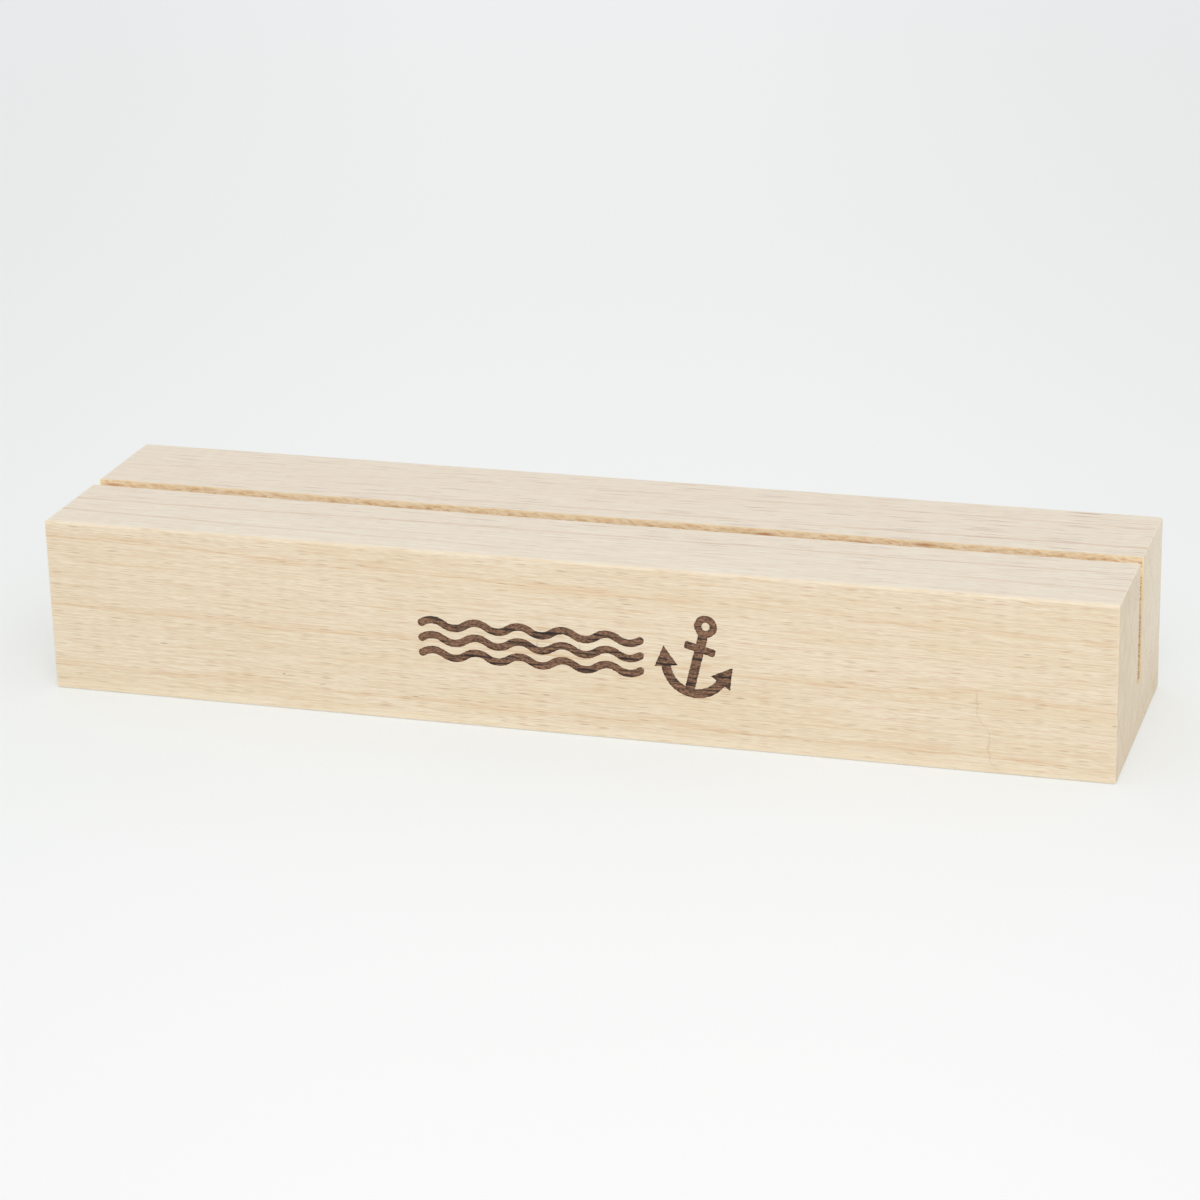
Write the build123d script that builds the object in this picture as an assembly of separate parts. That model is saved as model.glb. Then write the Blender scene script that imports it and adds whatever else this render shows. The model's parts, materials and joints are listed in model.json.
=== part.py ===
from build123d import *

import math
import os

# A wooden photo block holder: a bar of solid beech with one saw cut along its top, which holds a
# print upright. Wave lines and an anchor are burned into its front face.
# Lengths are millimetres. X runs along the bar, the front face looks to -Y, and +Z is up.
# The origin is the middle of the underside.

# The bar
bar_length = 180.0
bar_depth = 43.0
bar_height = 29.8
edge_ease = 0.4  # radius that sanding leaves on the outer edges

# The saw cut that holds the print, open at both ends and at the top
slot_width = 3.2  # one cut of a circular saw blade
slot_depth = 20.7
front_cheek = 19.6  # wood between the front face and the cut

# Every burned figure: a shallow pocket with charred wood left on its floor
pocket_depth = 0.3
char_thickness = 0.12
char_gap = 0.03  # from the charred wood to the pocket's side wall

# The three wave lines, one above another
wave_shift_x = -5.45  # middle of the lines, from the middle of the bar
wave_shift_z = -0.1  # middle of the lines, from mid-height of the front face
wave_pitch = 7.4  # from crest to crest
wave_crests = 5
wave_rise = 0.6  # from a line's middle to its crest
wave_stroke = 1.3
wave_spacing = 2.6  # from one line to the next

# The anchor, measured down its shank from the middle of its ring
anchor_shift_x = 23.98  # middle of the ring, from the middle of the bar
anchor_shift_z = 5.82  # middle of the ring, from mid-height of the front face
anchor_lean = 14.3  # degrees clockwise
ring_radius = 1.89
ring_eye_radius = 0.68
stock_drop = 4.0
stock_length = 5.2
stock_thickness = 1.32
stock_corner = 0.35
shank_width = 1.6
arm_drop = 6.84  # to the centre that both arms curve round
arm_radius = 4.96
arm_stroke = 1.56
arm_end_angle = 21.0  # degrees below level, where an arm meets its fluke
fluke_length = 3.45
fluke_width = 3.9


def beech_bar():
    """The bar with its edges eased and its slot cut, before anything is burned into it."""
    standing = (Align.CENTER, Align.CENTER, Align.MIN)
    bar = Box(bar_length, bar_depth, bar_height, align=standing)
    bar = fillet(bar.edges(), edge_ease)
    slot_y = -bar_depth / 2 + front_cheek + slot_width / 2
    slot_floor = bar_height - slot_depth
    cut = Box(2 * bar_length, slot_width, 2 * slot_depth, align=standing)
    return bar - Pos(0, slot_y, slot_floor) * cut


def wave_line():
    """One wave line, drawn with its middle at the origin: arcs that meet in line, with round ends."""
    half = wave_pitch / 2
    start = -wave_crests * half
    arcs = []
    for i in range(2 * wave_crests):
        side = 1 if i % 2 == 0 else -1
        left = start + i * half
        arcs.append(ThreePointArc((left, 0), (left + half / 2, side * wave_rise), (left + half, 0)))
    return make_face(Wire(arcs).offset_2d(wave_stroke / 2))


def fluke(side):
    """An arrow head on the end of one arm."""
    base_angle = math.radians(arm_end_angle)
    base = Vector(
        side * arm_radius * math.cos(base_angle),
        -arm_drop - arm_radius * math.sin(base_angle),
    )
    head = Polygon(
        (-fluke_width / 2, 0),
        (fluke_width / 2, 0),
        (0, fluke_length),
        align=None,
    )
    return Pos(base) * Rot(0, 0, -side * arm_end_angle) * head


def anchor():
    """The anchor, drawn upright with the middle of its ring at the origin."""
    shank_length = arm_drop + arm_radius
    shank = Pos(0, -shank_length / 2) * Rectangle(shank_width, shank_length)
    stock = Pos(0, -stock_drop) * RectangleRounded(stock_length, stock_thickness, stock_corner)
    arms = CenterArc((0, -arm_drop), arm_radius, 180 + arm_end_angle, 180 - 2 * arm_end_angle)
    figure = Circle(ring_radius) + shank + stock + make_face(Wire([arms]).offset_2d(arm_stroke / 2))
    for side in (-1, 1):
        figure += fluke(side)
    return figure - Circle(ring_eye_radius)


def on_front(figure, shift_x, shift_z, lean=0.0):
    """A figure drawn flat, stood up on the front face, facing out."""
    middle = (shift_x, -bar_depth / 2, bar_height / 2 + shift_z)
    face = Plane(origin=middle, x_dir=(1, 0, 0), z_dir=(0, -1, 0))
    return face * Rot(0, 0, -lean) * figure


def pocket(figure):
    """What the burning has taken out of the wood, with an overrun out of the face."""
    return extrude(figure, pocket_depth, dir=(0, 1, 0)) + extrude(figure, pocket_depth, dir=(0, -1, 0))


def char(figure):
    """The charred wood on a pocket's floor."""
    outline = offset(figure, -char_gap)
    return Pos(0, pocket_depth, 0) * extrude(outline, char_thickness, dir=(0, -1, 0))


# Where each figure lies on the front face
figures = {"anchor_burn": on_front(anchor(), anchor_shift_x, anchor_shift_z, anchor_lean)}
for name, row in (("upper", 1), ("middle", 0), ("lower", -1)):
    line_shift_z = wave_shift_z + row * wave_spacing
    figures["wave_burn_" + name] = on_front(wave_line(), wave_shift_x, line_shift_z)

parts = {}
parts["beech_block"] = beech_bar()
for name, figure in figures.items():
    parts["beech_block"] -= pocket(figure)
    parts[name] = char(figure)

os.makedirs("parts", exist_ok=True)
for name, part in parts.items():
    part.label = name
    export_step(part, f"parts/{name}.step")
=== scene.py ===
import bpy
import json
import math
import random
from mathutils import Matrix, Vector, noise


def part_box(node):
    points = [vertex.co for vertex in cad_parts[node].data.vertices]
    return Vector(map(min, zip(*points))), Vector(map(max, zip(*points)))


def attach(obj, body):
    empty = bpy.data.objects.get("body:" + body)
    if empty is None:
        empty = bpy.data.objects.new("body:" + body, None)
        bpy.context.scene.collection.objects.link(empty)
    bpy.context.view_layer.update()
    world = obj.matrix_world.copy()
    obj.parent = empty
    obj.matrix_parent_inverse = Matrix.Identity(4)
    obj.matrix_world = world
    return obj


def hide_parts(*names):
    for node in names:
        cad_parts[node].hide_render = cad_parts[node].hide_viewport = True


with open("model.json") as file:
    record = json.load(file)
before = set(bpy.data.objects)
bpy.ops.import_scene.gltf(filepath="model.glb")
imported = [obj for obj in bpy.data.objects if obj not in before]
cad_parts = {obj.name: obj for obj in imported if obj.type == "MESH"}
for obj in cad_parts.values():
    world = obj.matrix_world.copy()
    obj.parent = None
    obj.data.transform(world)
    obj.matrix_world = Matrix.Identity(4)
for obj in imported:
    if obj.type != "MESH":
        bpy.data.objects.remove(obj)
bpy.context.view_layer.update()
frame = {"nodes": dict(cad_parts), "record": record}
mm = 0.001

# The beech bar
# One piece of planed beech, cross-cut to length and fine sanded, with its outer edges rubbed soft.
# A circular saw has cut the print's slot along its top, and left the slot's walls rough.

bar_low, bar_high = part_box("beech_block")
bar_length = bar_high.x - bar_low.x
mounts = {mount["name"]: mount for mount in frame["record"]["mounts"]}
slot_floor = Vector(mounts["slot_floor"]["pos_m"])
slot_width = 3.2 * mm
slot_front = slot_floor.y - slot_width / 2
slot_rear = slot_floor.y + slot_width / 2
slot_depth = bar_high.z - slot_floor.z
edge_ease = 0.38 * mm
top_front_ease = 0.5 * mm     # the hand has rubbed this edge rounder than the others
end_slice = 0.75 * mm         # the last slice at each end is longer, so that the bevel stays inside it
slice_length = 0.45 * mm
mouth_depth = 2.0 * mm        # the part of the slot that light reaches has the finest mesh
mouth_step = 0.2 * mm
wall_step = 0.34 * mm
near = 0.01 * mm
blade_radius = 150 * mm
tooth_feed = 0.9 * mm         # how far the wood moves on between two teeth
ridge_height = 0.012 * mm
tear_depth = 0.07 * mm


def select_only(piece):
    """Leaves this piece the only selected object, and active."""
    bpy.ops.object.select_all(action="DESELECT")
    piece.select_set(True)
    bpy.context.view_layer.objects.active = piece


def pick(piece, kind, wanted):
    """Opens edit mode on a piece, with those of its VERTs, EDGEs or FACEs selected that are wanted."""
    select_only(piece)
    bpy.ops.object.mode_set(mode="EDIT")
    bpy.ops.mesh.select_mode(type=kind)
    bpy.ops.mesh.select_all(action="DESELECT")
    bpy.ops.object.mode_set(mode="OBJECT")
    mesh = piece.data
    for element in {"VERT": mesh.vertices, "EDGE": mesh.edges, "FACE": mesh.polygons}[kind]:
        element.select = wanted(element)
    bpy.ops.object.mode_set(mode="EDIT")


def apply_modifier(piece, kind, **settings):
    modifier = piece.modifiers.new(kind.lower(), kind)
    for name, value in settings.items():
        setattr(modifier, name, value)
    select_only(piece)
    bpy.ops.object.modifier_apply(modifier=modifier.name)


def draw_end_outline():
    """The bar's end in outline: one vertex, drawn up the front, along the top, round the slot and back."""
    height = bar_high.z - bar_low.z
    mouth = mouth_depth - end_slice
    deep = slot_depth - mouth_depth
    depths = ((end_slice, 1), (mouth, round(mouth / mouth_step)), (deep, round(deep / wall_step)))
    moves = [(0, height, 1), (slot_front - bar_low.y, 0, 1)]
    moves += [(0, -depth, cuts) for depth, cuts in depths]
    moves += [(slot_width, 0, round(slot_width / wall_step))]
    moves += [(0, depth, cuts) for depth, cuts in reversed(depths)]
    moves += [(bar_high.y - slot_rear, 0, 1), (0, -height, 1), (bar_low.y - bar_high.y, 0, 1)]
    bpy.ops.object.select_all(action="DESELECT")
    bpy.ops.mesh.primitive_plane_add(size=mm, location=bar_low)
    outline = bpy.context.object
    bpy.ops.object.transform_apply(location=True)
    pick(outline, "VERT", lambda vertex: True)
    bpy.ops.mesh.merge(type="CENTER")
    for y, z, cuts in moves:
        for _ in range(cuts):
            bpy.ops.mesh.extrude_vertices_move(TRANSFORM_OT_translate={"value": (0, y / cuts, z / cuts)})
    bpy.ops.mesh.select_all(action="SELECT")
    bpy.ops.mesh.remove_doubles(threshold=near)
    bpy.ops.object.mode_set(mode="OBJECT")
    return outline


def is_outer_corner(vertex):
    beside = min(vertex.co.y - bar_low.y, bar_high.y - vertex.co.y)
    above = min(vertex.co.z - bar_low.z, bar_high.z - vertex.co.z)
    return beside < near and above < near


def is_top_front_corner(vertex):
    return is_outer_corner(vertex) and vertex.co.y < 0 and vertex.co.z > bar_high.z - near


def in_slot(point):
    """True on the slot's walls and floor, their edges too."""
    return slot_front - near < point.y < slot_rear + near and point.z > slot_floor.z - near


def at_end(point):
    return min(point.x - bar_low.x, bar_high.x - point.x) < near


def is_outer_end_edge(edge):
    ends = [bar.data.vertices[index].co for index in edge.vertices]
    return all(at_end(point) for point in ends) and not all(in_slot(point) for point in ends)


def sawn_depth(point):
    """How deep the tooth marks and torn fibres reach into the wood here. A tooth's path is an arc."""
    height = max(point.z - slot_floor.z, 0)
    path = math.sqrt(height * (2 * blade_radius - height))
    across = point.x + path
    ridge = 0.5 + 0.5 * math.cos(2 * math.pi * across / tooth_feed)
    side = 7 if point.y > slot_floor.y else 0
    torn = noise.noise(Vector((across / (0.7 * mm), height / (2.5 * mm), side)))
    patch = noise.noise(Vector((point.x / (9 * mm), height / (4 * mm), side + 20)))
    return ridge_height * ridge + tear_depth * max(torn, 0) * (0.6 + max(patch, 0) * 2)


def roughen_slot():
    for vertex in bar.data.vertices:
        point = vertex.co.copy()
        if not in_slot(point):
            continue
        depth = sawn_depth(point)
        if point.z < slot_floor.z + near:
            vertex.co.z -= depth
            continue
        if at_end(point):
            frayed = noise.noise(Vector((point.z / (0.5 * mm), point.y / mm, point.x)))
            depth += 0.16 * mm * max(frayed, 0)
        if point.z > bar_high.z - near:
            frayed = noise.noise(Vector((point.x / (0.9 * mm), 3, point.y / mm)))
            depth += 0.1 * mm * max(frayed, 0)
            vertex.co.z -= 0.12 * mm * max(-frayed, 0)
        vertex.co.y += depth if point.y > slot_floor.y else -depth


bar = draw_end_outline()
bar.name = "sawn_beech_bar"
for ease, top_front in ((top_front_ease, True), (edge_ease, False)):
    pick(bar, "VERT", lambda vertex: is_outer_corner(vertex) and is_top_front_corner(vertex) == top_front)
    bpy.ops.mesh.bevel(affect="VERTICES", offset=ease, segments=5)
    bpy.ops.object.mode_set(mode="OBJECT")
slices = round(bar_length / slice_length)
apply_modifier(bar, "SCREW", axis="X", angle=0, screw_offset=bar_length, steps=slices, render_steps=slices)
for end in (bar_low.x, bar_high.x):
    pick(bar, "VERT", lambda vertex: abs(vertex.co.x - end) < near)
    bpy.ops.mesh.edge_face_add()
    bpy.ops.mesh.select_all(action="SELECT")
    bpy.ops.mesh.normals_make_consistent(inside=False)
    bpy.ops.object.mode_set(mode="OBJECT")
squeeze = (bar_length / 2 - end_slice) / (bar_length / 2 - bar_length / slices)
for vertex in bar.data.vertices:
    if not at_end(vertex.co):
        vertex.co.x *= squeeze
weights = bar.data.attributes.new("bevel_weight_edge", "FLOAT", "EDGE")
for edge in bar.data.edges:
    weights.data[edge.index].value = float(is_outer_end_edge(edge))
# The ends are rounded a little less, so that the bevel fits inside the long edges' own curves
apply_modifier(
    bar, "BEVEL", limit_method="WEIGHT", width=0.92 * edge_ease, segments=5, use_clamp_overlap=False,
)
pick(bar, "FACE", lambda face: True)
bpy.ops.mesh.normals_make_consistent(inside=False)
bpy.ops.object.mode_set(mode="OBJECT")
for row in range(1, round(end_slice / mouth_step)):
    pick(bar, "FACE", lambda face: in_slot(face.center) and face.center.z > bar_high.z - end_slice)
    bpy.ops.mesh.bisect(plane_co=(0, 0, bar_high.z - row * mouth_step), plane_no=(0, 0, 1))
    bpy.ops.object.mode_set(mode="OBJECT")
sawn_faces = [
    all(in_slot(bar.data.vertices[index].co) for index in face.vertices) for face in bar.data.polygons
]
roughen_slot()


def linear(hex_colour):
    """An sRGB colour, such as E6D6BA, as linear red, green, blue and alpha."""
    shares = [int(hex_colour[i:i + 2], 16) / 255 for i in (0, 2, 4)]
    return [c / 12.92 if c <= 0.04045 else ((c + 0.055) / 1.055) ** 2.4 for c in shares] + [1.0]


def add(tree, kind, inputs=None, out=0, **settings):
    """Adds a node, gives its inputs values or links, and returns the output that comes next in the chain."""
    node = tree.nodes.new("ShaderNode" + kind)
    for name, value in settings.items():
        setattr(node, name, value)
    for name, value in (inputs or {}).items():
        if isinstance(value, bpy.types.NodeSocket):
            tree.links.new(value, node.inputs[name])
        else:
            node.inputs[name].default_value = value
    return node.outputs[out]


pith_slope = math.radians(43)      # seen on the end, the pith lies this far above level, towards the rear
grain_slope = math.radians(0.72)   # the grain sinks this much from left to right
pith_distance_mm = 160
# The growth rings, from the front foot to the rear: where each year's dark late wood ends, out from the
# pith, how far that drifts per mm along the bar, and how dark it is at the left and at the right end
rings_mm = (
    (174.4, 0.001, 0.9, 1.0),
    (168.4, 0.003, 1.0, 1.0),
    (162.1, 0.006, 1.1, 0.8),
    (156.2, 0.018, 1.2, 0.3),
    (151.1, 0.028, 0.1, 1.0),
    (148.1, -0.016, 1.1, 1.0),
    (137.7, -0.015, 0.7, 1.2),
    (129.5, -0.01, 0.5, 1.0),
)
late_wood_mm = 4.5
between_rings = 0.5    # how dark the wood stays from one ring to the next, where 1 is a ring's border
flat_cut_mm = 9.3      # from here on towards the pith, the saw has met the largest rays flat
# Marks on the front face: x and z of the middle, half length, half height, colour and strength
front_marks = (
    (2.0, 25.0, 13.0, 1.1, "D6B080", 0.28),     # a pinker cloud under the top edge
    (-48.5, 6.2, 0.3, 0.16, "5E4738", 0.8),     # a dark speck
    (10.9, 23.4, 1.3, 0.12, "8E745C", 0.7),
    (-3.0, 6.6, 0.9, 0.1, "6A5140", 0.7),
    (29.5, 9.0, 1.1, 0.1, "6A5140", 0.7),
    (46.0, 12.4, 1.6, 0.12, "A5866A", 0.6),
    (89.6, 9.8, 0.5, 0.14, "A07850", 0.8),      # a nick in the right-hand edge
    (-88.6, 14.0, 1.4, 0.1, "BE9468", 0.8),     # a lifted fibre at the left-hand edge
)


def beech_figure(tree):
    """Beech's figure as a solid pattern in millimetres. In the grain's frame Y runs to the pith."""
    place = add(tree, "TexCoord", out="Object")
    place = add(tree, "Mapping", {"Vector": place, "Scale": (1 / mm,) * 3})
    level = add(tree, "Mapping", {"Vector": place, "Rotation": (0, -grain_slope, 0)})
    grain = add(tree, "Mapping", {"Vector": level, "Rotation": (-pith_slope, 0, 0)})
    along = add(tree, "SeparateXYZ", {"Vector": grain}, out="X")
    inward, around = along.node.outputs["Y"], along.node.outputs["Z"]
    # Growth rings round a distant pith: each year's wood darkens slowly and ends at a clear border,
    # which wanders a little
    to_pith = add(tree, "Math", {0: pith_distance_mm, 1: inward}, operation="SUBTRACT")
    spoke = add(tree, "CombineXYZ", {"Y": to_pith, "Z": around})
    radius = add(tree, "VectorMath", {0: spoke}, out="Value", operation="LENGTH")
    slow = add(tree, "Mapping", {"Vector": grain, "Scale": (1 / 40, 1 / 10, 1 / 14)})
    wander = add(tree, "TexNoise", {"Vector": slow, "Scale": 1.0, "Detail": 3.0}, out="Fac")
    radius = add(tree, "Math", {0: wander, 1: 1.6, 2: radius}, operation="MULTIPLY_ADD")
    radius = add(tree, "Math", {0: radius, 1: 0.8}, operation="SUBTRACT")
    late = between_rings
    for border, drift, left_dark, right_dark in rings_mm:
        border = add(tree, "Math", {0: along, 1: drift, 2: border}, operation="MULTIPLY_ADD")
        inside = add(tree, "Math", {0: border, 1: radius}, operation="SUBTRACT")
        ring = add(tree, "MapRange", {"Value": inside, "From Min": late_wood_mm, "From Max": 0.0})
        ring = add(tree, "Math", {0: ring, 1: 4.0}, operation="POWER")
        before = add(tree, "Math", {0: inside, 1: 0.0}, operation="GREATER_THAN")
        ring = add(tree, "Math", {0: ring, 1: before}, operation="MULTIPLY")
        dark = add(tree, "MapRange", {
            "Value": along, "From Min": -90.0, "From Max": 90.0, "To Min": left_dark, "To Max": right_dark,
        })
        ring = add(tree, "Math", {0: ring, 1: dark}, operation="MULTIPLY")
        late = add(tree, "Math", {0: late, 1: ring}, operation="MAXIMUM")
    # The fibres run in shallow waves
    wave_place = add(tree, "Mapping", {"Vector": grain, "Scale": (1 / 7, 1 / 4, 1 / 4)})
    wave = add(tree, "TexNoise", {"Vector": wave_place, "Scale": 1.0, "Detail": 1.0}, out="Color")
    wavy = add(tree, "VectorMath", {0: wave, 1: (0, 0.35, 0.35), 2: grain}, operation="MULTIPLY_ADD")
    # Fibres, drawn about twice as coarse as real ones so that they show
    fibre_place = add(tree, "Mapping", {"Vector": wavy, "Scale": (1 / 1.7, 1 / 0.5, 1 / 0.09)})
    fibres = add(tree, "TexNoise", {
        "Vector": fibre_place, "Scale": 1.0, "Detail": 1.0, "Roughness": 0.5,
    }, out="Fac")
    streak_place = add(tree, "Mapping", {"Vector": wavy, "Scale": (1 / 9, 1 / 1.0, 1 / 0.11)})
    streaks = add(tree, "TexNoise", {"Vector": streak_place, "Scale": 1.0, "Detail": 1.0}, out="Fac")
    cloud_place = add(tree, "Mapping", {"Vector": grain, "Scale": (1 / 30, 1 / 6, 1 / 3)})
    clouds = add(tree, "TexNoise", {"Vector": cloud_place, "Scale": 1.0, "Detail": 2.0}, out="Fac")
    # Rays: plates of cells that run out from the pith. A lengthwise cut shows each as a short brown fleck.
    fleck_place = add(tree, "Mapping", {"Vector": wavy, "Scale": (1 / 3.4, 1 / 1.1, 1 / 0.14)})
    fleck = add(tree, "TexVoronoi", {"Vector": fleck_place, "Scale": 1.0}, out="Distance")
    fleck_kind = add(tree, "SeparateColor", {"Color": fleck.node.outputs["Color"]}, out="Red")
    fleck_mask = add(tree, "MapRange", {"Value": fleck, "From Min": 0.45, "From Max": 0.15})
    fleck_tone = add(tree, "Math", {0: fleck_kind, 1: 3.0}, operation="POWER")
    flecks = add(tree, "Math", {0: fleck_mask, 1: fleck_tone}, operation="MULTIPLY")
    # The largest rays are longer and stand apart. They show where the cut meets them flat, towards the rear.
    rearward = add(tree, "MapRange", {
        "Value": inward, "From Min": flat_cut_mm, "From Max": flat_cut_mm + 5.0,
        "To Min": 0.12, "To Max": 1.1,
    })
    rightward = add(tree, "MapRange", {"Value": along, "From Min": -90.0, "From Max": 30.0, "To Min": 0.55})
    ray_place = add(tree, "Mapping", {"Vector": wavy, "Scale": (1 / 13, 1 / 1.2, 1 / 0.4)})
    ray = add(tree, "TexVoronoi", {"Vector": ray_place, "Scale": 1.0}, out="Distance")
    ray_kind = add(tree, "SeparateColor", {"Color": ray.node.outputs["Color"]}, out="Red")
    ray_mask = add(tree, "MapRange", {"Value": ray, "From Min": 0.32, "From Max": 0.14})
    ray_tone = add(tree, "Math", {0: ray_kind, 1: rearward}, operation="MULTIPLY")
    ray_tone = add(tree, "Math", {0: ray_tone, 1: rightward}, operation="MULTIPLY")
    rays = add(tree, "Math", {0: ray_mask, 1: ray_tone}, operation="MULTIPLY")
    # A few pores hold dark gum, as short black dashes
    gum_place = add(tree, "Mapping", {"Vector": grain, "Scale": (1 / 20, 1 / 12, 1 / 1.9)})
    gum = add(tree, "TexVoronoi", {"Vector": gum_place, "Scale": 1.0}, out="Distance")
    gum_mask = add(tree, "MapRange", {"Value": gum, "From Min": 0.045, "From Max": 0.025})
    forward = add(tree, "Math", {0: inward, 1: flat_cut_mm}, operation="LESS_THAN")
    gums = add(tree, "Math", {0: gum_mask, 1: forward}, operation="MULTIPLY")
    return {
        "late": late, "flecks": flecks, "rays": rays, "gums": gums, "fibres": fibres,
        "streaks": streaks, "clouds": clouds, "grain": grain, "place": place,
    }


def sanded_beech():
    """Bare beech, planed and fine sanded: pale, close to matt, with brown flecks and faint rings."""
    material = bpy.data.materials.new("sanded_bare_beech")
    material.use_nodes = True
    tree = material.node_tree
    shader = tree.nodes["Principled BSDF"]
    figure = beech_figure(tree)
    cloud_share = add(tree, "MapRange", {"Value": figure["clouds"], "From Min": 0.3, "From Max": 0.7})
    facing = add(tree, "NewGeometry", out="Normal")
    upward = add(tree, "SeparateXYZ", {"Vector": facing}, out="Z")
    upward = add(tree, "MapRange", {"Value": upward, "From Min": 0.7, "From Max": 1.0})
    body = add(tree, "Mix", {
        0: cloud_share, 6: linear("F1E9D5"), 7: linear("ECE0C6"),
    }, out=2, data_type="RGBA")
    # The top is painted paler than the sides, and most towards its front right corner: painted light and
    # sheen
    painted_light_share = add(tree, "VectorMath", {
        0: figure["place"], 1: (0.005, -0.035, 0),
    }, out="Value", operation="DOT_PRODUCT")
    painted_light_share = add(tree, "MapRange", {
        "Value": painted_light_share, "From Min": -0.6, "From Max": 0.6, "To Min": 0.5, "To Max": 0.95,
    })
    painted_light_share = add(tree, "Math", {0: painted_light_share, 1: upward}, operation="MULTIPLY")
    body = add(tree, "Mix", {0: painted_light_share, 6: body, 7: linear("FEFFEF")}, out=2, data_type="RGBA")
    # The fibres show less on the top, which the light meets more squarely
    strength = add(tree, "MapRange", {"Value": upward, "To Min": 0.62, "To Max": 0.44})
    fibre_share = add(tree, "MapRange", {
        "Value": figure["fibres"], "From Min": 0.32, "From Max": 0.75, "To Max": strength,
    })
    body = add(tree, "Mix", {0: fibre_share, 6: body, 7: linear("D5C4A6")}, out=2, data_type="RGBA")
    strength = add(tree, "MapRange", {"Value": upward, "To Min": 0.32, "To Max": 0.24})
    streak_share = add(tree, "MapRange", {
        "Value": figure["streaks"], "From Min": 0.5, "From Max": 0.7, "To Max": strength,
    })
    body = add(tree, "Mix", {0: streak_share, 6: body, 7: linear("D1BD9C")}, out=2, data_type="RGBA")
    ring_share = add(tree, "MapRange", {
        "Value": figure["streaks"], "From Min": 0.38, "From Max": 0.66, "To Min": 0.35, "To Max": 0.9,
    })
    ring_share = add(tree, "Math", {0: upward, 1: 0.5, 2: ring_share}, operation="MULTIPLY_ADD")
    ring_share = add(tree, "Math", {0: figure["late"], 1: ring_share}, operation="MULTIPLY")
    # On the top the rings are painted greyer, as painted sheen
    ring_tint = add(tree, "Mix", {
        0: upward, 6: linear("D4AF85"), 7: linear("CEAE88"),
    }, out=2, data_type="RGBA")
    body = add(tree, "Mix", {0: ring_share, 6: body, 7: ring_tint}, out=2, data_type="RGBA")
    # Flecks are darkest in the late wood, and in a patch low in the middle of the front
    patch = add(tree, "Mapping", {
        "Vector": figure["place"], "Location": (-5 / 45, 0, -6 / 9), "Scale": (1 / 45, 0, 1 / 9),
    })
    patch = add(tree, "VectorMath", {0: patch}, out="Value", operation="LENGTH")
    patch = add(tree, "MapRange", {"Value": patch, "From Min": 1.0, "From Max": 0.6, "To Min": 0.7})
    fleck_share = add(tree, "Math", {0: figure["late"], 1: 0.3, 2: patch}, operation="MULTIPLY_ADD")
    fleck_share = add(tree, "Math", {0: fleck_share, 1: figure["flecks"]}, operation="MULTIPLY")
    body = add(tree, "Mix", {0: fleck_share, 6: body, 7: linear("BC9870")}, out=2, data_type="RGBA")
    ray_share = add(tree, "Math", {0: figure["rays"], 1: 0.95}, operation="MULTIPLY")
    body = add(tree, "Mix", {0: ray_share, 6: body, 7: linear("A07A58")}, out=2, data_type="RGBA")
    gum_share = add(tree, "Math", {0: figure["gums"], 1: 0.5}, operation="MULTIPLY")
    body = add(tree, "Mix", {0: gum_share, 6: body, 7: linear("5E4738")}, out=2, data_type="RGBA")
    # What marks the front face, none of which reaches deep
    beside = add(tree, "SeparateXYZ", {"Vector": figure["place"]}, out="X")
    near_front = add(tree, "Math", {0: beside.node.outputs["Y"], 1: -20.0}, operation="LESS_THAN")
    for x, z, half_length, half_height, colour, strength in front_marks:
        spot = add(tree, "Mapping", {
            "Vector": figure["place"], "Location": (-x / half_length, 0, -z / half_height),
            "Scale": (1 / half_length, 0, 1 / half_height),
        })
        far = add(tree, "VectorMath", {0: spot}, out="Value", operation="LENGTH")
        share = add(tree, "MapRange", {"Value": far, "From Min": 1.0, "From Max": 0.2, "To Max": strength})
        share = add(tree, "Math", {0: share, 1: near_front}, operation="MULTIPLY")
        body = add(tree, "Mix", {0: share, 6: body, 7: linear(colour)}, out=2, data_type="RGBA")
    # One faint scratch comes down the right of the front to the foot, in two steps to the right
    height = beside.node.outputs["Z"]
    lean = add(tree, "MapRange", {
        "Value": height, "From Min": 10.5, "From Max": 6.0, "To Min": 67.8, "To Max": 69.9,
    }, interpolation_type="SMOOTHSTEP")
    kick = add(tree, "MapRange", {"Value": height, "From Min": 2.2, "From Max": 0.2, "To Max": 2.0})
    lean = add(tree, "Math", {0: lean, 1: kick}, operation="ADD")
    crooked = add(tree, "TexNoise", {"Vector": figure["place"], "Scale": 0.45, "Detail": 1.0}, out="Fac")
    scratch_x = add(tree, "Math", {0: crooked, 1: 1.2, 2: lean}, operation="MULTIPLY_ADD")
    scratch = add(tree, "Math", {0: beside, 1: scratch_x}, operation="SUBTRACT")
    scratch = add(tree, "Math", {0: scratch, 1: 0.6}, operation="ADD")
    scratch = add(tree, "Math", {0: scratch}, operation="ABSOLUTE")
    scratch = add(tree, "MapRange", {"Value": scratch, "From Min": 0.18, "From Max": 0.06, "To Max": 0.24})
    low = add(tree, "MapRange", {"Value": height, "From Min": 14.2, "From Max": 13.2})
    scratch = add(tree, "Math", {0: scratch, 1: low}, operation="MULTIPLY")
    scratch = add(tree, "Math", {0: scratch, 1: near_front}, operation="MULTIPLY")
    body = add(tree, "Mix", {0: scratch, 6: body, 7: linear("B58F66")}, out=2, data_type="RGBA")
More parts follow.
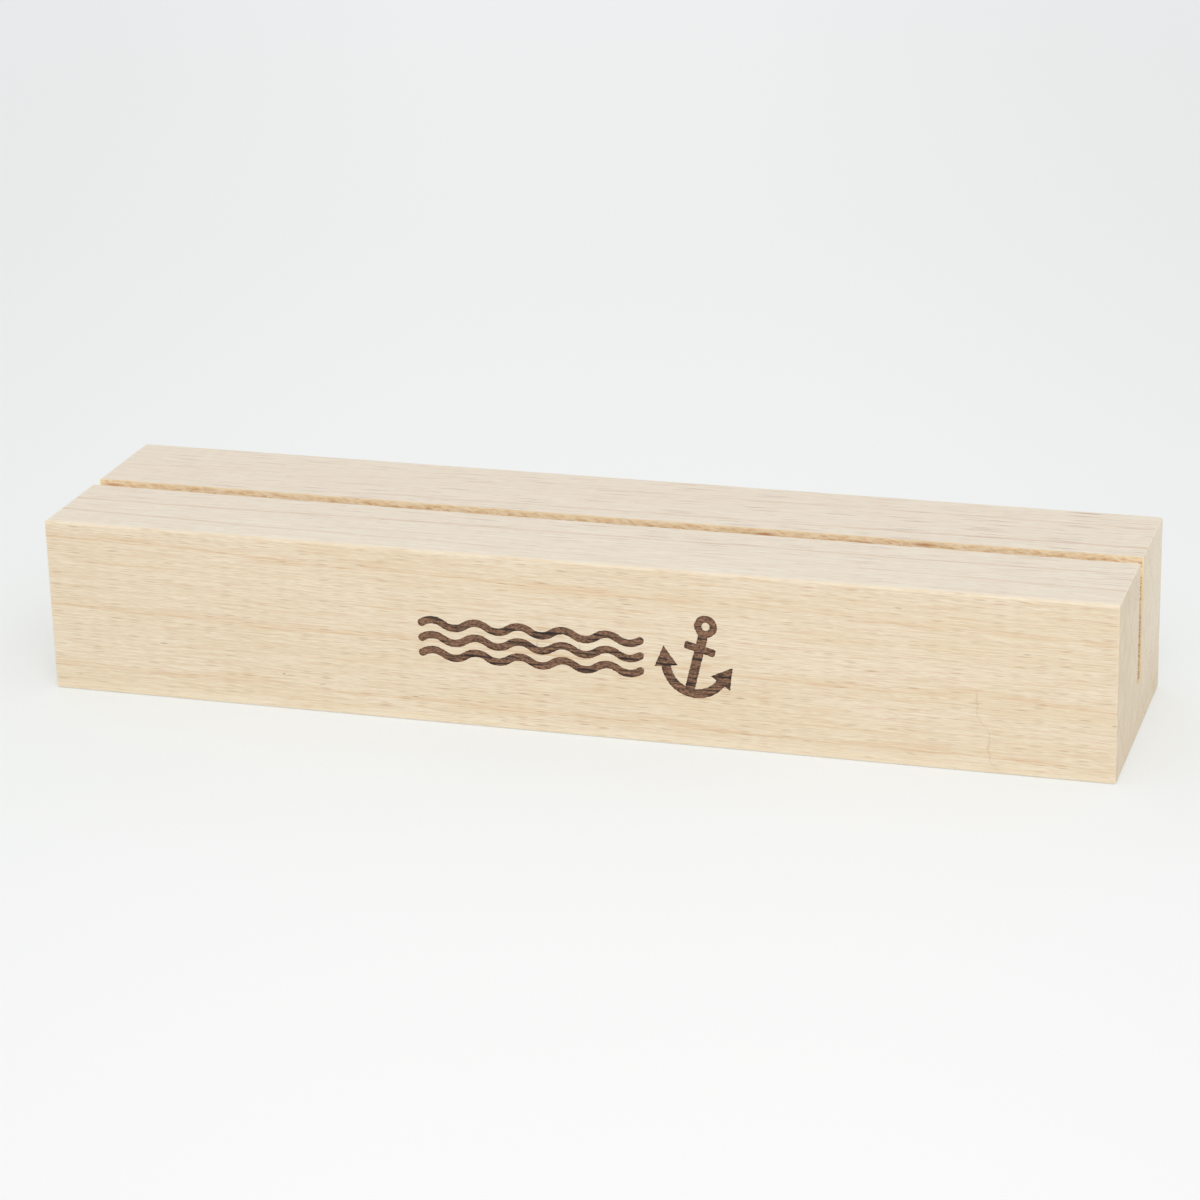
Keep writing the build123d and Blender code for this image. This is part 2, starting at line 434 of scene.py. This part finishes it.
    # The foot is painted paler, as painted light bounced up from the floor. The rubbed edges are paler, the
    # top front edge most, where fingers have smoothed it, and partly as a painted highlight
    painted_floor_bounce = add(tree, "MapRange", {"Value": height, "From Min": 2.2, "From Max": 0.2, "To Max": 0.3})
    painted_floor_bounce = add(tree, "Math", {0: painted_floor_bounce, 1: near_front}, operation="MULTIPLY")
    body = add(tree, "Mix", {0: painted_floor_bounce, 6: body, 7: linear("F8EBD0")}, out=2, data_type="RGBA")
    # The top front edge: partly rubbed wear, partly a painted highlight
    brow_wear_and_highlight = add(tree, "Mapping", {
        "Vector": figure["place"], "Location": (0, 21.0, -41.7), "Scale": (0, 1, 1.4),
    })
    brow_wear_and_highlight = add(tree, "VectorMath", {0: brow_wear_and_highlight}, out="Value", operation="LENGTH")
    brow_wear_and_highlight = add(tree, "MapRange", {"Value": brow_wear_and_highlight, "From Min": 0.9, "From Max": 0.1, "To Max": 0.5})
    body = add(tree, "Mix", {0: brow_wear_and_highlight, 6: body, 7: linear("F0DFC0")}, out=2, data_type="RGBA")
    facing = add(tree, "VectorMath", {0: facing}, operation="ABSOLUTE")
    along = add(tree, "SeparateXYZ", {"Vector": facing}, out="X")
    widest = add(tree, "Math", {0: along, 1: along.node.outputs["Y"]}, operation="MAXIMUM")
    widest = add(tree, "Math", {0: widest, 1: along.node.outputs["Z"]}, operation="MAXIMUM")
    # Every rounded edge is paler: partly wear, partly a painted highlight
    edge_wear_and_highlight = add(tree, "MapRange", {"Value": widest, "From Min": 0.99, "From Max": 0.85, "To Max": 0.15})
    body = add(tree, "Mix", {0: edge_wear_and_highlight, 6: body, 7: linear("F6EAD4")}, out=2, data_type="RGBA")
    # Cut across, the wood is more even, and its rings and rays show as faint lines. Its paler colour is
    # partly painted sheen
    end_share = add(tree, "MapRange", {"Value": along, "From Min": 0.6, "From Max": 1.0})
    end_ray_place = add(tree, "Mapping", {"Vector": figure["grain"], "Scale": (1 / 4, 1 / 4, 1 / 0.9)})
    end_rays = add(tree, "TexNoise", {"Vector": end_ray_place, "Scale": 1.0, "Detail": 3.0}, out="Fac")
    end_tone = add(tree, "Math", {0: figure["late"], 1: 0.65, 2: end_rays}, operation="MULTIPLY_ADD")
    end_tone = add(tree, "MapRange", {"Value": end_tone, "From Min": 0.45, "From Max": 0.95})
    # The end is painted paler towards the rear and the top: painted sheen
    painted_light_share = add(tree, "MapRange", {"Value": beside.node.outputs["Y"], "From Min": -14.0, "From Max": 14.0})
    upper = add(tree, "MapRange", {"Value": height, "From Min": 3.0, "From Max": 13.0})
    painted_light_share = add(tree, "Math", {0: painted_light_share, 1: upper}, operation="MULTIPLY")
    pale_end = add(tree, "Mix", {
        0: painted_light_share, 6: linear("FFFDF6"), 7: linear("FFFFFF"),
    }, out=2, data_type="RGBA")
    dark_end = add(tree, "Mix", {
        0: painted_light_share, 6: linear("DFD2BA"), 7: linear("EBE4D6"),
    }, out=2, data_type="RGBA")
    end_tint = add(tree, "Mix", {0: end_tone, 6: pale_end, 7: dark_end}, out=2, data_type="RGBA")
    body = add(tree, "Mix", {
        0: end_share, 6: body, 7: end_tint,
    }, out=2, data_type="RGBA", blend_type="MULTIPLY")
    # The end is lifted towards pale cream, more at the rear and the top: partly painted sheen
    painted_light_share = add(tree, "MapRange", {"Value": painted_light_share, "To Min": 0.24, "To Max": 0.42})
    end_share = add(tree, "Math", {0: end_share, 1: painted_light_share}, operation="MULTIPLY")
    body = add(tree, "Mix", {0: end_share, 6: body, 7: linear("F6EEDE")}, out=2, data_type="RGBA")
    tree.links.new(body, shader.inputs["Base Color"])
    shader.inputs["Roughness"].default_value = 0.45
    shader.inputs["Sheen Weight"].default_value = 0.75
    shader.inputs["Sheen Roughness"].default_value = 0.5
    bump = add(tree, "Bump", {"Height": figure["fibres"], "Strength": 0.2, "Distance": 0.05 * mm})
    tree.links.new(bump, shader.inputs["Normal"])
    return material


# x and height above the slot's floor of the middle, half length and half height
scorched_places = (
    (28.0, 19.7, 2.0, 0.4),
    (54.5, 20.0, 2.2, 0.35),
    (-87.5, 19.8, 2.0, 0.3),
    (45.0, 19.5, 1.2, 0.3),
)


def sawn_beech():
    """The same beech as the saw left it: torn, matt, warmer and darker, with the marks of the teeth."""
    material = bpy.data.materials.new("saw_cut_beech")
    material.use_nodes = True
    tree = material.node_tree
    shader = tree.nodes["Principled BSDF"]
    place = add(tree, "TexCoord", out="Object")
    place = add(tree, "Mapping", {
        "Vector": place, "Scale": (1 / mm,) * 3, "Location": (0, 0, -slot_floor.z / mm),
    })
    along = add(tree, "SeparateXYZ", {"Vector": place}, out="X")
    across, height = along.node.outputs["Y"], along.node.outputs["Z"]
    rest_of_blade = add(tree, "Math", {0: 2 * blade_radius / mm, 1: height}, operation="SUBTRACT")
    squared = add(tree, "Math", {0: rest_of_blade, 1: height}, operation="MULTIPLY")
    path = add(tree, "Math", {0: squared}, operation="SQRT")
    tooth = add(tree, "Math", {0: along, 1: path}, operation="ADD")
    swept = add(tree, "CombineXYZ", {"X": tooth, "Y": across, "Z": height})
    torn_place = add(tree, "Mapping", {"Vector": swept, "Scale": (1 / 0.45, 1 / 3, 1 / 0.8)})
    torn = add(tree, "TexNoise", {
        "Vector": torn_place, "Scale": 1.0, "Detail": 3.0, "Roughness": 0.6,
    }, out="Fac")
    fibre_place = add(tree, "Mapping", {"Vector": place, "Scale": (1 / 1.3, 1 / 3, 1 / 0.3)})
    fibres = add(tree, "TexNoise", {"Vector": fibre_place, "Scale": 1.0, "Detail": 2.0}, out="Fac")
    rough = add(tree, "Math", {0: torn, 1: fibres}, operation="ADD")
    rough_share = add(tree, "MapRange", {"Value": rough, "From Min": 0.8, "From Max": 1.3})
    body = add(tree, "Mix", {
        0: rough_share, 6: linear("FCECCF"), 7: linear("E9C99C"),
    }, out=2, data_type="RGBA")
    # Torn pockets are painted darker, as painted shade, and show less at the very mouth
    deep = add(tree, "MapRange", {"Value": height, "From Min": 20.3, "From Max": 19.6, "To Min": 0.35})
    painted_pit_shade = add(tree, "MapRange", {"Value": fibres, "From Min": 0.52, "From Max": 0.72})
    painted_pit_shade = add(tree, "Math", {0: painted_pit_shade, 1: deep}, operation="MULTIPLY")
    painted_pit_shade = add(tree, "Math", {0: painted_pit_shade, 1: 0.5}, operation="MULTIPLY")
    body = add(tree, "Mix", {0: painted_pit_shade, 6: body, 7: linear("B98452")}, out=2, data_type="RGBA")
    # Where the blade has stopped and scorched the wood
    for x, z, half_length, half_height in scorched_places:
        spot = add(tree, "Mapping", {
            "Vector": place, "Location": (-x / half_length, 0, -z / half_height),
            "Scale": (1 / half_length, 0, 1 / half_height),
        })
        spot = add(tree, "VectorMath", {0: spot}, out="Value", operation="LENGTH")
        spot = add(tree, "Math", {0: fibres, 1: 1.2, 2: spot}, operation="MULTIPLY_ADD")
        share = add(tree, "MapRange", {"Value": spot, "From Min": 1.7, "From Max": 1.0, "To Max": 0.7})
        body = add(tree, "Mix", {0: share, 6: body, 7: linear("BF7E52")}, out=2, data_type="RGBA")
    # The lips of the cut are paler, at the top and down both ends: partly rubbed wear, partly a painted
    # highlight where they catch the light
    lip = add(tree, "MapRange", {"Value": height, "From Min": 20.35, "From Max": 20.6, "To Max": 0.6})
    from_middle = add(tree, "Math", {0: along}, operation="ABSOLUTE")
    end_lip = add(tree, "MapRange", {
        "Value": from_middle, "From Min": 89.74, "From Max": 89.86, "To Max": 0.9,
    })
    # Just inside its right-hand end the cut is spotted brown, most of all low down: partly torn wood, partly
    # painted shade
    torn_spots_and_shade = add(tree, "TexNoise", {"Vector": place, "Scale": 1.9, "Detail": 1.0}, out="Fac")
    torn_spots_and_shade = add(tree, "MapRange", {
        "Value": torn_spots_and_shade, "From Min": 0.4, "From Max": 0.6, "To Min": 0.1, "To Max": 0.48,
    })
    by_end = add(tree, "MapRange", {"Value": along, "From Min": 88.9, "From Max": 89.2})
    below_mouth = add(tree, "MapRange", {"Value": height, "From Min": 18.0, "From Max": 15.0, "To Min": 0.2})
    torn_spots_and_shade = add(tree, "Math", {0: torn_spots_and_shade, 1: by_end}, operation="MULTIPLY")
    torn_spots_and_shade = add(tree, "Math", {0: torn_spots_and_shade, 1: below_mouth}, operation="MULTIPLY")
    body = add(tree, "Mix", {0: torn_spots_and_shade, 6: body, 7: linear("85462E")}, out=2, data_type="RGBA")
    body = add(tree, "Mix", {0: lip, 6: body, 7: linear("FBE9C4")}, out=2, data_type="RGBA")
    body = add(tree, "Mix", {0: end_lip, 6: body, 7: linear("FDE9B4")}, out=2, data_type="RGBA")
    tree.links.new(body, shader.inputs["Base Color"])
    shader.inputs["Roughness"].default_value = 0.85
    bump = add(tree, "Bump", {"Height": torn, "Strength": 0.5, "Distance": 0.1 * mm})
    tree.links.new(bump, shader.inputs["Normal"])
    return material


side_grain = sanded_beech()
# The same wood cut across: rougher, so that it mirrors less of the room
end_grain = side_grain.copy()
end_grain.name = "cross_cut_end_grain"
end_shader = end_grain.node_tree.nodes["Principled BSDF"]
end_shader.inputs["Roughness"].default_value = 0.6
end_shader.inputs["Sheen Weight"].default_value = 0.2
for material in (side_grain, sawn_beech(), end_grain):
    bar.data.materials.append(material)
for face, sawn in zip(bar.data.polygons, sawn_faces):
    if sawn:
        face.material_index = 1
    elif abs(face.normal.x) > 0.75:
        face.material_index = 2

# The burned marks
# An anchor and three wave lines, burned into the front face by a laser. Each is a shallow pocket
# with charred wood on its floor, whose edge is ragged because the fibres burn unevenly.

figures = ("anchor_burn", "wave_burn_upper", "wave_burn_middle", "wave_burn_lower")
char_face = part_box("anchor_burn")[0].y
pocket_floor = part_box("anchor_burn")[1].y
overrun = 0.5 * mm
outline_step = 0.16 * mm
ragged_along = 0.13 * mm
ragged_across = 0.05 * mm
char_step_along = 0.5 * mm
char_step_across = 0.2 * mm
char_relief = 0.07 * mm


def copy_front(node_name, piece_name, depth):
    """A sheet made of those faces of a CAD solid that look forwards at one depth, with a fine outline."""
    sheet = frame["nodes"][node_name].copy()
    sheet.data = sheet.data.copy()
    sheet.name = piece_name
    sheet.parent = None
    sheet.hide_render = False
    sheet.data.materials.clear()
    bpy.context.scene.collection.objects.link(sheet)
    pick(sheet, "VERT", lambda vertex: True)
    bpy.ops.mesh.remove_doubles(threshold=0.001 * mm)
    bpy.ops.object.mode_set(mode="OBJECT")
    pick(sheet, "FACE", lambda face: face.normal.y > -0.9 or abs(face.center.y - depth) > near)
    bpy.ops.mesh.delete(type="FACE")
    bpy.ops.mesh.select_all(action="SELECT")
    bpy.ops.mesh.dissolve_limited(angle_limit=math.radians(1))
    bpy.ops.object.mode_set(mode="OBJECT")
    return sheet


def fray_outline(sheet):
    """Divides a sheet's outline finely and draws it ragged. Fire runs further along fibres than across."""
    def is_coarse(edge):
        a, b = (sheet.data.vertices[index].co for index in edge.vertices)
        return (a - b).length > outline_step

    coarse = True
    while coarse:
        pick(sheet, "EDGE", is_coarse)
        bpy.ops.mesh.subdivide(number_cuts=1, ngon=True)
        bpy.ops.object.mode_set(mode="OBJECT")
        coarse = any(is_coarse(edge) for edge in sheet.data.edges)
    for vertex in sheet.data.vertices:
        spot = Vector((vertex.co.x / (0.5 * mm), 5, vertex.co.z / (0.25 * mm)))
        vertex.co.x += ragged_along * noise.noise(spot)
        vertex.co.z += ragged_across * noise.noise(spot + Vector((50, 0, 0)))


def thicken(sheet, depth):
    """Draws a sheet back into the wood, so that it is a closed piece."""
    pick(sheet, "FACE", lambda face: True)
    bpy.ops.mesh.extrude_region_move(TRANSFORM_OT_translate={"value": (0, depth, 0)})
    bpy.ops.mesh.select_all(action="SELECT")
    bpy.ops.mesh.normals_make_consistent(inside=False)
    bpy.ops.object.mode_set(mode="OBJECT")


def charred_beech():
    """Wood that a laser has burned: dark brown and matt, and blacker in lines along the grain."""
    material = bpy.data.materials.new("burned_beech_char")
    material.use_nodes = True
    tree = material.node_tree
    shader = tree.nodes["Principled BSDF"]
    place = add(tree, "TexCoord", out="Object")
    place = add(tree, "Mapping", {"Vector": place, "Scale": (1 / mm,) * 3})
    grain_place = add(tree, "Mapping", {"Vector": place, "Scale": (1 / 5, 1 / 2, 1 / 0.35)})
    grain = add(tree, "TexNoise", {"Vector": grain_place, "Scale": 1.0, "Detail": 2.0}, out="Fac")
    crumb_place = add(tree, "Mapping", {"Vector": place, "Scale": (1 / 0.5, 1, 1 / 0.18)})
    crumbs = add(tree, "TexNoise", {"Vector": crumb_place, "Scale": 1.0, "Detail": 1.0}, out="Fac")
    crumb_share = add(tree, "MapRange", {"Value": crumbs, "From Min": 0.3, "From Max": 0.7})
    body = add(tree, "Mix", {
        0: crumb_share, 6: linear("4A3024"), 7: linear("9A7458"),
    }, out=2, data_type="RGBA")
    grain_share = add(tree, "MapRange", {"Value": grain, "From Min": 0.52, "From Max": 0.64})
    body = add(tree, "Mix", {0: grain_share, 6: body, 7: linear("2A1C16")}, out=2, data_type="RGBA")
    tree.links.new(body, shader.inputs["Base Color"])
    shader.inputs["Roughness"].default_value = 0.8
    return material


char_material = charred_beech()
bar.data.materials.append(char_material)

pockets = copy_front("beech_block", "pockets", pocket_floor)
fray_outline(pockets)
for vertex in pockets.data.vertices:
    vertex.co.y = bar_low.y - overrun
thicken(pockets, pocket_floor - bar_low.y + overrun)
pockets.data.materials.append(char_material)
apply_modifier(
    bar, "BOOLEAN", object=pockets, operation="DIFFERENCE", solver="MANIFOLD", material_mode="TRANSFER",
)
bpy.data.objects.remove(pockets)

for figure in figures:
    char = copy_front(figure, figure.replace("burn", "char"), char_face)
    fray_outline(char)
    low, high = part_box(figure)
    for axis, step, normal in ((0, char_step_along, (1, 0, 0)), (2, char_step_across, (0, 0, 1))):
        place = low[axis] + step
        while place < high[axis]:
            at = [0, 0, 0]
            at[axis] = place
            pick(char, "FACE", lambda face: True)
            bpy.ops.mesh.bisect(plane_co=at, plane_no=normal)
            bpy.ops.object.mode_set(mode="OBJECT")
            place += step
    # Fire eats the soft wood deeper than the hard, along the grain
    for vertex in char.data.vertices:
        spot = Vector((vertex.co.x / (1.4 * mm), 9, vertex.co.z / (0.3 * mm)))
        vertex.co.y += char_relief * max(noise.noise(spot) + 0.2, 0)
    thicken(char, pocket_floor - char_face)
    select_only(char)
    bpy.ops.object.shade_smooth_by_angle(angle=math.radians(40))
    char.data.materials.append(char_material)
    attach(char, "root")
    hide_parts(figure)

select_only(bar)
bpy.ops.object.shade_smooth_by_angle(angle=math.radians(30))
apply_modifier(bar, "WEIGHTED_NORMAL", keep_sharp=True, weight=100)
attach(bar, "root")
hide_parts("beech_block")

# The torn fibres
# Slivers of the bar's own beech that the saw has lifted at the rear lip of the slot without breaking
# them off. They are pale and bare, and as thin as a hair.

fibre_radius = 0.035 * mm      # at the root, and about a third of that at the tip
fibre_root = 0.1 * mm          # how deep each starts inside the wood
fibre_count = 34


def add_fibre(root, tip, sag):
    """One curved sliver that thins from its root to its tip."""
    bpy.ops.curve.primitive_bezier_curve_add(location=(0, 0, 0))
    fibre = bpy.context.object
    curve = fibre.data
    start, end = curve.splines[0].bezier_points
    bow = Vector((0, 0, -sag))
    for point, place, radius in ((start, root, 1.0), (end, tip, 0.35)):
        point.handle_left_type = "FREE"
        point.handle_right_type = "FREE"
        point.co = place
        point.radius = radius
    start.handle_left = root
    start.handle_right = root.lerp(tip, 0.4) + bow
    end.handle_left = root.lerp(tip, 0.75) + bow
    end.handle_right = tip
    curve.resolution_u = 5
    curve.bevel_depth = fibre_radius
    curve.bevel_resolution = 1
    curve.use_fill_caps = True
    bpy.ops.object.convert(target="MESH")
    return bpy.context.object


chance = random.Random(8)
fibres = []
for index in range(fibre_count):
    root = Vector((
        chance.uniform(bar_low.x + 3 * mm, bar_high.x - 3 * mm),
        slot_rear + fibre_root,
        bar_high.z - chance.uniform(0.2, 0.9) * mm,
    ))
    reach = chance.choice((-1, 1)) * chance.uniform(0.7, 1.9) * mm
    lift = chance.uniform(-0.2, 0.35) * mm
    tip = root + Vector((reach, -fibre_root - chance.uniform(0.12, 0.5) * mm, lift))
    tip.z = min(tip.z, bar_high.z - 0.08 * mm)
    fibres.append(add_fibre(root, tip, chance.uniform(-0.05, 0.1) * mm))
# One sliver has split and stands up as a fork
fork = Vector((66.0 * mm, slot_rear + fibre_root, bar_high.z - 1.1 * mm))
for spread in (-0.45, 0.4):
    tip = Vector((fork.x + spread * mm, slot_rear - 0.5 * mm, bar_high.z - 0.1 * mm))
    fibres.append(add_fibre(fork, tip, 0.0))
bpy.ops.object.select_all(action="DESELECT")
for fibre in fibres:
    fibre.select_set(True)
bpy.context.view_layer.objects.active = fibres[0]
bpy.ops.object.join()
fibres = bpy.context.object
fibres.name = "torn_fibres"
pick(fibres, "VERT", lambda vertex: True)
bpy.ops.mesh.remove_doubles(threshold=0.0005 * mm)
bpy.ops.mesh.normals_make_consistent(inside=False)
bpy.ops.object.mode_set(mode="OBJECT")
fibre_material = bpy.data.materials.new("lifted_beech_fibre")
fibre_material.use_nodes = True
# Pale like fresh wood, a little browner in places
tree = fibre_material.node_tree
place = add(tree, "TexCoord", out="Object")
mottle = add(tree, "TexNoise", {"Vector": place, "Scale": 1 / (1.5 * mm), "Detail": 1.0}, out="Fac")
body = add(tree, "Mix", {0: mottle, 6: linear("F8ECD2"), 7: linear("E2C597")}, out=2, data_type="RGBA")
tree.links.new(body, tree.nodes["Principled BSDF"].inputs["Base Color"])
tree.nodes["Principled BSDF"].inputs["Roughness"].default_value = 0.7
fibres.data.materials.clear()
fibres.data.materials.append(fibre_material)
bpy.ops.object.shade_smooth()
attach(fibres, "root")

# The floor
# A large sheet of white paper that the bar stands on. It is a little greyer to the sides, as in the photo.

floor_radius = 4.0
azimuth = math.radians(17.153)     # the photograph's, which the shades of the paper follow
bpy.ops.object.select_all(action="DESELECT")
bpy.ops.mesh.primitive_circle_add(vertices=96, radius=floor_radius, fill_type="NGON", location=(0, 0, 0))
floor = bpy.context.object
floor.name = "floor"
paper = bpy.data.materials.new("white_paper")
paper.use_nodes = True
tree = paper.node_tree
shader = tree.nodes["Principled BSDF"]
place = add(tree, "TexCoord", out="Object")
place = add(tree, "Mapping", {"Vector": place, "Scale": (1 / mm,) * 3, "Rotation": (0, 0, -azimuth)})
side = add(tree, "SeparateXYZ", {"Vector": place}, out="X")
depth = side.node.outputs["Y"]
# The paper's shades with depth and to the sides are painted fall-off of the light
share = add(tree, "MapRange", {"Value": depth, "From Min": -120.0, "From Max": -30.0})
body = add(tree, "Mix", {0: share, 6: linear("F7F7F7"), 7: linear("F4F6F5")}, out=2, data_type="RGBA")
share = add(tree, "MapRange", {"Value": depth, "From Min": -30.0, "From Max": 200.0})
body = add(tree, "Mix", {0: share, 6: body, 7: linear("F3F5F4")}, out=2, data_type="RGBA")
share = add(tree, "MapRange", {"Value": depth, "From Min": 300.0, "From Max": 600.0})
body = add(tree, "Mix", {0: share, 6: body, 7: linear("F7F8F9")}, out=2, data_type="RGBA")
off_side = add(tree, "Math", {0: side}, operation="ABSOLUTE")
share = add(tree, "MapRange", {
    "Value": off_side, "From Min": 20.0, "From Max": 190.0,
}, interpolation_type="SMOOTHSTEP")
body = add(tree, "Mix", {
    0: share, 6: body, 7: linear("F8F9F9"),
}, out=2, data_type="RGBA", blend_type="MULTIPLY")
tree.links.new(body, shader.inputs["Base Color"])
shader.inputs["Roughness"].default_value = 0.9
# A third of the paper's colour shows whatever the light, as in an exposure set for a white ground
path = add(tree, "LightPath", out="Is Camera Ray")
seen = add(tree, "Math", {0: path, 1: path.node.outputs["Is Glossy Ray"]}, operation="MAXIMUM")
seen = add(tree, "Math", {0: seen, 1: 0.35}, operation="MULTIPLY")
glow = add(tree, "Emission", {"Color": body, "Strength": 1.0})
mixed = add(tree, "MixShader", {0: seen, 1: shader.outputs[0], 2: glow})
tree.links.new(mixed, tree.nodes["Material Output"].inputs["Surface"])
floor.data.materials.append(paper)

# The light
# An overcast white room, and one large soft lamp above the camera, a little to its right. The room's
# walls look as grey as the far end of the paper, so that no horizon shows.

world = bpy.data.worlds.new("pale_room")
world.use_nodes = True
tree = world.node_tree
path = add(tree, "LightPath", out="Is Camera Ray")
air = add(tree, "Mix", {0: path, 6: linear("FFFFFF"), 7: linear("E4E6E7")}, out=2, data_type="RGBA")
tree.links.new(air, tree.nodes["Background"].inputs["Color"])
seen = add(tree, "Math", {0: path, 1: path.node.outputs["Is Glossy Ray"]}, operation="MAXIMUM")
strength = add(tree, "MapRange", {"Value": seen, "To Min": 0.8, "To Max": 1.0})
tree.links.new(strength, tree.nodes["Background"].inputs["Strength"])
bpy.context.scene.world = world
lamp_azimuth = math.radians(20)
lamp_elevation = math.radians(42)
lamp_distance = 1.2
lamp_width = 0.9
lamp_watts = 4.6
lamp_place = Vector((
    math.sin(lamp_azimuth) * math.cos(lamp_elevation),
    -math.cos(lamp_azimuth) * math.cos(lamp_elevation),
    math.sin(lamp_elevation),
)) * lamp_distance
bpy.ops.object.light_add(type="AREA", location=lamp_place)
lamp = bpy.context.object
lamp.data.shape = "DISK"
lamp.data.size = lamp_width
lamp.data.energy = lamp_watts
lamp.rotation_euler = (-lamp_place).to_track_quat("-Z", "Y").to_euler()

# The camera
# Placed and turned as the photograph's, which a fit to the bar's corners gave.

elevation = math.radians(20.234)
roll = math.radians(-1.421)
distance = 0.62212
focal_length_mm = 112.171
looked_at = Vector((-0.00008, 0.0, 0.01552))
back = Vector((
    math.sin(azimuth) * math.cos(elevation),
    -math.cos(azimuth) * math.cos(elevation),
    math.sin(elevation),
))
level_right = Vector((math.cos(azimuth), math.sin(azimuth), 0))
level_up = back.cross(level_right)
right = level_right * math.cos(roll) + level_up * math.sin(roll)
up = level_up * math.cos(roll) - level_right * math.sin(roll)
bpy.ops.object.camera_add(location=looked_at + back * distance)
camera = bpy.context.object
camera.rotation_euler = Matrix((right, up, back)).transposed().to_euler()
camera.data.sensor_width = 36
camera.data.lens = focal_length_mm
camera.data.clip_start = 0.01
bpy.context.scene.camera = camera

bpy.context.scene.view_settings.view_transform = "Standard"
